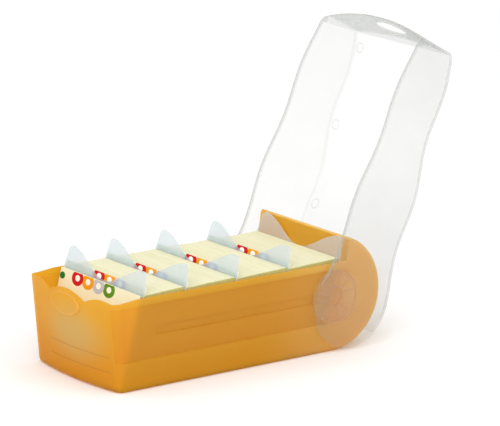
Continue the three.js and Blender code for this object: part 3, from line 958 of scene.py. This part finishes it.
def lid_pattern(n, wall_colour):
    """A whiter panel, greyer toward the hub, and walls with painted shade on the near one. Denser
    lines run along the lid's free edges and its rounded corners: the edges are real, and the lines
    paint light piped through the plastic to them.
    """
    s, y, h = lid_place(n)
    across = n.math("ABSOLUTE", y)
    wall_inside = LID_HALF_WIDTH - LID_WALL
    depth = below_panel(n, s, h)

    # The edges are real; the grey lines along them are painted light, standing for light piped
    # through the plastic by internal reflection, and the corner lines are stronger on the near side.
    rim = n.product(
        n.ramp(across, wall_inside - 0.3, wall_inside),
        n.ramp(above_edge(n, s, h), 0.8, 4.2, 1.0, 0.0),
        n.ramp(s, 0.0, 12.0),
    )
    fold = n.product(
        n.ramp(depth, 2.2, 4.8, 1.0, 0.0),
        n.ramp(across, LID_HALF_WIDTH - 2.4, LID_HALF_WIDTH - 1.4),
        n.ramp(y, -20.0, 20.0, 1.0, 0.45),
    )
    line = n.math("MAXIMUM", rim, fold)
    line = ring_lines(n, s, y, n.ramp(depth, 2.0, 3.0, 0.7, 0.0), line)
    front = n.ramp(s, LID_LENGTH - 2.0, LID_LENGTH - 1.0)
    lip = n.math("SUBTRACT", h, panel_height(LID_LENGTH) - LID_FRONT_HEIGHT)
    line = n.math("MAXIMUM", line, n.product(front, n.ramp(lip, 0.8, 3.0, 1.0, 0.0)))

    # Painted shade: the near wall stays a darker grey than the far wall. The walls also turn greyer
    # toward the front end, and the panel toward the hub.
    wall_colour = n.mix(n.ramp(s, 120.0, 190.0), wall_colour, srgb(166, 168, 163))
    wall_colour = n.mix(n.ramp(y, -20.0, 20.0), wall_colour, srgb(214, 216, 212))
    panel_colour = n.mix(n.ramp(s, 40.0, 120.0), srgb(196, 199, 196), srgb(244, 245, 243))
    on_panel = n.ramp(across, LID_HALF_WIDTH - 4.0, LID_HALF_WIDTH - 2.0, 1.0, 0.0)
    colour = n.mix(on_panel, wall_colour, panel_colour)
    colour = n.mix(n.math("MAXIMUM", line, front), colour, srgb(190, 193, 190))
    dense = n.math("MAXIMUM", n.product(line, LID_LINE_DENSITY), n.product(front, LID_FRONT_DENSITY))
    return colour, dense


def card_along(n, z):
    """How far up a leaning card a point is, in millimetres."""
    return n.math("DIVIDE", n.math("SUBTRACT", z, BASE_Z), math.cos(LEAN))


def paper(n, colour):
    normal = n.bump(n.noise(900.0, 4.0, 0.6), 0.3, 0.00005)
    return n.gloss(colour, 0.82, normal, 0.25, PAPER_IOR)


def card_stock():
    n = Nodes("card_stock")
    x, y, z = n.place()
    leant = n.product(n.math("SUBTRACT", z, BASE_Z), math.tan(LEAN))
    sheet_no = n.math("FLOOR", n.math("DIVIDE", n.math("SUBTRACT", x, leant), SHEET_PITCH))
    white = n.add("ShaderNodeTexWhiteNoise", {"W": sheet_no}, noise_dimensions="1D")
    jitter = white.outputs["Value"]
    tone = n.math("MULTIPLY", n.math("ADD", jitter, n.noise(60.0, 2.0)), 0.5)
    cream = n.mix(tone, srgb(233, 229, 190), srgb(241, 238, 208))
    # Painted shade: the near ends of the cards, which lie in shade, are coloured olive.
    border = n.math("SUBTRACT", jitter, CARD_WIDTH / 2 - CARD_BORDER)
    painted_end_shade = n.mix(tone, srgb(188, 188, 118), srgb(200, 198, 134))
    colour = n.mix(n.math("LESS_THAN", y, border), cream, painted_end_shade)
    return n.finish(paper(n, colour))


def front_card(name, first_y, height, count, corner_dot):
    """Cream card with a row of ovals, each with a pale middle, near its top edge."""
    n = Nodes(name)
    _, y, z = n.place()
    along = card_along(n, z)
    colour = n.mix(n.noise(60.0, 2.0), srgb(240, 240, 208), srgb(245, 246, 220))
    for i in reversed(range(count)):
        centre = (first_y - MARK_PITCH * i, height)
        colour = n.mix(oval_mask(n, y, along, centre, MARK_HALF), colour, srgb(*MARK_COLOURS[i]))
        hole = [half * MARK_HOLE for half in MARK_HALF]
        colour = n.mix(oval_mask(n, y, along, centre, hole), colour, srgb(252, 252, 244))
    if corner_dot:
        dot = oval_mask(n, y, along, DOT_CENTRE, DOT_HALF)
        colour = n.mix(dot, colour, srgb(24, 118, 54))
    return n.finish(paper(n, colour))


# ---- assembly ----

def dress(obj, material, slot_name, body=None, *nodes):
    obj.data.materials.clear()
    obj.data.materials.append(material)
    if body:
        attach(obj, body)
    if nodes:
        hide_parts(*nodes)
    return obj


def dress_divider(node, material):
    """A divider keeps its own shape, with its edges eased."""
    edge = node.modifiers.new("edge", "BEVEL")
    edge.width = 0.3 * MM
    edge.segments = 2
    edge.limit_method = "ANGLE"
    edge.angle_limit = math.radians(40)
    dress(node, material, "divider_plastic")


def printed_card(name):
    """The first card has four marks, lower down, and a dot in its corner. The others have three."""
    if name == "front_card_0":
        return front_card("printed_front", 28.7, 66.2, 4, True)
    return front_card(f"printed_{name[-1]}", 8.0, 71.8, 3, False)


lid_plastic = milky("lid_plastic", srgb(184, 186, 182), 0.115, 0.8, lid_pattern)
hub_plastic = milky("hub_plastic", srgb(246, 246, 242), 0.05, 0.55)
divider_plastic = milky("divider_plastic", srgb(224, 235, 244), 0.46, 0.9)
tray_material = tray_plastic()
stock = card_stock()

dress(make_tray(), tray_material, "tray_plastic", "tray", "tray")
dress(open_lid(make_lid()), lid_plastic, "lid_plastic", "lid", "lid")
for name, side in (("hub_disc_near", -1), ("hub_disc_far", 1)):
    disc = open_lid(make_hub_disc(f"{name}_turned", side))
    dress(disc, hub_plastic, "lid_plastic", "lid", name)

draw = random.Random(CARD_SEED)
for name in sorted(frame["nodes"]):
    node = frame["nodes"][name]
    if name.startswith("divider"):
        dress_divider(node, divider_plastic)
    elif name.startswith("cards"):
        dress(make_cards(name, draw), stock, "card", node["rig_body"], name)
    elif name.startswith("front_card"):
        dress(make_cards(name, draw), printed_card(name), "front_card", node["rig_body"], name)


# ---- floor, light and camera ----

FLOOR_HALF = 6.0  # metres, as every place and size of the floor, lights and camera
FLOOR_DROP = -0.0003
LIGHT_AIM = Vector((0, 0, 0.05))
CAMERA_AIM = Vector((0.0597, 0.0, 0.102))
CAMERA_DISTANCE = 2.6725
CAMERA_AZIMUTH = math.radians(-36.09)
CAMERA_ELEVATION = math.radians(13.95)
CAMERA_ROLL = math.radians(0.14)
CAMERA_LENS = 254.4
CLEAR_LAYERS = 32  # see-through surfaces in a line: the lid, hub discs and tray overlap in view


def make_floor():
    bm = bmesh.new()
    for x, y in ((-1, -1), (1, -1), (1, 1), (-1, 1)):
        bm.verts.new((x * FLOOR_HALF, y * FLOOR_HALF, FLOOR_DROP))
    bm.faces.new(bm.verts)
    floor = from_bmesh("floor", bm)
    n = Nodes("floor_paper")
    tone = n.mix(n.noise(3.0, 2.0), (0.955, 0.955, 0.955, 1), (0.97, 0.97, 0.97, 1))
    paint = n.add("ShaderNodeBsdfDiffuse", {"Color": tone})
    floor.data.materials.append(n.finish(paint.outputs[0]))


def area_light(name, place, size, power):
    data = bpy.data.lights.new(name, "AREA")
    data.shape = "DISK"
    data.size = size
    data.energy = power
    light = add_object(name, data)
    light.location = place
    light.rotation_euler = (LIGHT_AIM - Vector(place)).to_track_quat("-Z", "Y").to_euler()


def make_world():
    world = bpy.data.worlds.new("studio")
    world.use_nodes = True
    background = world.node_tree.nodes["Background"]
    background.inputs["Color"].default_value = (1, 1, 1, 1)
    background.inputs["Strength"].default_value = 0.96
    bpy.context.scene.world = world


def make_camera():
    back = Vector((
        math.sin(CAMERA_AZIMUTH) * math.cos(CAMERA_ELEVATION),
        -math.cos(CAMERA_AZIMUTH) * math.cos(CAMERA_ELEVATION),
        math.sin(CAMERA_ELEVATION),
    ))
    data = bpy.data.cameras.new("camera")
    data.lens = CAMERA_LENS
    data.sensor_width = 36.0
    data.clip_start = 0.1
    data.clip_end = 30.0
    camera = add_object("camera", data)
    camera.rotation_mode = "QUATERNION"
    camera.location = CAMERA_AIM + back * CAMERA_DISTANCE
    turn = (-back).to_track_quat("-Z", "Y")
    camera.rotation_quaternion = turn @ Matrix.Rotation(CAMERA_ROLL, 3, "Z").to_quaternion()
    bpy.context.scene.camera = camera


make_floor()
make_world()
bpy.context.scene.cycles.transparent_max_bounces = CLEAR_LAYERS
area_light("key", (-1.6, -1.5, 1.9), 2.2, 25.0)
area_light("fill", (1.0, -2.2, 1.1), 2.0, 10.0)
make_camera()
bpy.context.scene.view_settings.view_transform = "Standard"
